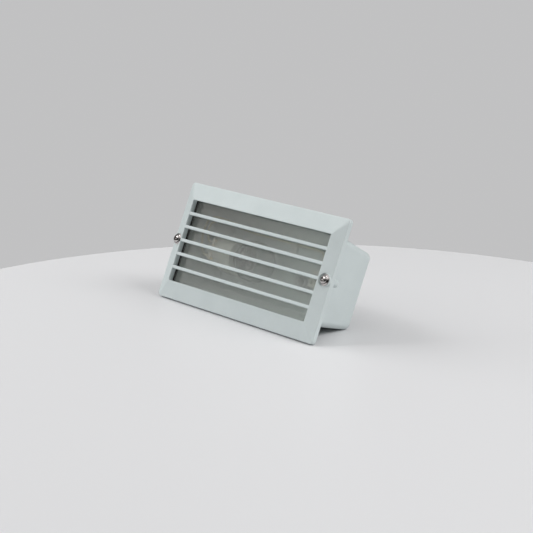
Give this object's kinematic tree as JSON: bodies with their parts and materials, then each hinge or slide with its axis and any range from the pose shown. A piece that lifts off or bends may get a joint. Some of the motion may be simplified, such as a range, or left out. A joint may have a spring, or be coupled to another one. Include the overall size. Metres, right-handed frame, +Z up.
{
  "type": "step light",
  "caption": "Recessed wall step light: a louvred bevelled front cover with glass over a drafted cast box that holds a lampholder, lamp, terminal block and cable gland.",
  "frame": {"origin": "centre of the cover on the wall plane, which is the plane of its rear rim", "axes": "+X to the right along the slats, +Y into the wall towards the back of the box, +Z up"},
  "size_m": [0.248, 0.0932, 0.13],
  "materials": {
    "cast_paint": "satin, fine-textured powder coat",
    "pane_glass": "grey-green float glass, slightly hazed",
    "gasket_rubber": "matt black",
    "bright_steel": "bright plated",
    "zinc_steel": "zinc plated",
    "porcelain": "glazed white porcelain",
    "nickel_plate": "nickel plated",
    "brass_part": "turned brass",
    "lamp_glass": "clear glass",
    "black_glass": "black glass",
    "solder": "dull solder",
    "filament_wire": "dark wire",
    "block_plastic": "natural nylon",
    "tinned": "tinned copper",
    "lead_sleeve": "pale yellow silicone sleeve",
    "earth_sleeve": "green and yellow sleeve",
    "gland_nylon": "black nylon"
  },
  "bodies": {
    "back_box": {"back_box": "cast_paint", "holder_bracket": "zinc_steel", "bracket_screws": "zinc_steel", "bracket_washers": "zinc_steel", "holder_body": "porcelain", "holder_shell": "nickel_plate", "holder_contact": "brass_part", "holder_terminals": "brass_part", "holder_terminal_screws": "zinc_steel", "holder_fixing_screws": "zinc_steel", "terminal_block": "block_plastic", "terminal_tubes": "brass_part", "terminal_screws": "zinc_steel", "block_screws": "zinc_steel", "earth_screw": "brass_part", "earth_washer": "zinc_steel", "earth_tag": "tinned", "earth_lead": "earth_sleeve", "live_lead": "lead_sleeve", "neutral_lead": "lead_sleeve", "lead_ferrules": "tinned", "lead_clip": "gland_nylon", "lead_clip_screw": "zinc_steel", "gland_body": "gland_nylon", "gland_locknut": "gland_nylon", "gland_washer": "gasket_rubber", "gland_seal": "gasket_rubber"},
    "cover": {"front_cover": "cast_paint", "glass_pane": "pane_glass", "glass_gasket": "gasket_rubber", "screw_seals": "gasket_rubber"},
    "washer_left": {"screw_washer_left": "bright_steel"},
    "washer_right": {"screw_washer_right": "bright_steel"},
    "screw_left": {"cover_screw_left": "bright_steel"},
    "screw_right": {"cover_screw_right": "bright_steel"},
    "lamp_travel": {"lamp_insulator": "black_glass"},
    "lamp": {"lamp_glass": "lamp_glass", "lamp_cap": "nickel_plate", "lamp_contact": "solder", "lamp_stem": "lamp_glass", "lamp_filament": "filament_wire"},
    "thrust_ring": {"gland_thrust_ring": "zinc_steel"},
    "gland_nut": {"gland_nut": "gland_nylon"}
  },
  "joints": [
    {"name": "cover_lift", "type": "slide", "parent": "back_box", "child": "cover", "axis": [0, -1, 0], "range_m": [0, 0.06]},
    {"name": "screw_left_travel", "type": "slide", "parent": "cover", "child": "washer_left", "axis": [0, -1, 0], "range_m": [0, 0.008]},
    {"name": "screw_left_turn", "type": "hinge", "parent": "washer_left", "child": "screw_left", "pos_m": [-0.117, -0.0072, 0], "axis": [0, -1, 0], "range_deg": [0, 3601]},
    {"name": "screw_right_travel", "type": "slide", "parent": "cover", "child": "washer_right", "axis": [0, -1, 0], "range_m": [0, 0.008]},
    {"name": "screw_right_turn", "type": "hinge", "parent": "washer_right", "child": "screw_right", "pos_m": [0.117, -0.0072, 0], "axis": [0, -1, 0], "range_deg": [0, 3601]},
    {"name": "lamp_travel", "type": "slide", "parent": "back_box", "child": "lamp_travel", "axis": [1, 0, 0], "range_m": [0, 0.0254]},
    {"name": "lamp_turn", "type": "hinge", "parent": "lamp_travel", "child": "lamp", "pos_m": [-0.07234, 0.029, 0], "axis": [1, 0, 0], "range_deg": [0, 2521]},
    {"name": "gland_travel", "type": "slide", "parent": "back_box", "child": "thrust_ring", "axis": [0, 1, 0], "range_m": [0, 0.0045]},
    {"name": "gland_nut_turn", "type": "hinge", "parent": "thrust_ring", "child": "gland_nut", "pos_m": [0.02834, 0.069, -0.006], "axis": [0, 1, 0], "range_deg": [0, 1081]}
  ],
  "couplings": [
    {"joint": "screw_left_turn", "follows": "screw_left_travel", "rad_per_m": 7854},
    {"joint": "screw_right_turn", "follows": "screw_right_travel", "rad_per_m": 7854},
    {"joint": "lamp_turn", "follows": "lamp_travel", "rad_per_m": 1731.4},
    {"joint": "gland_nut_turn", "follows": "gland_travel", "rad_per_m": 4188.8}
  ]
}
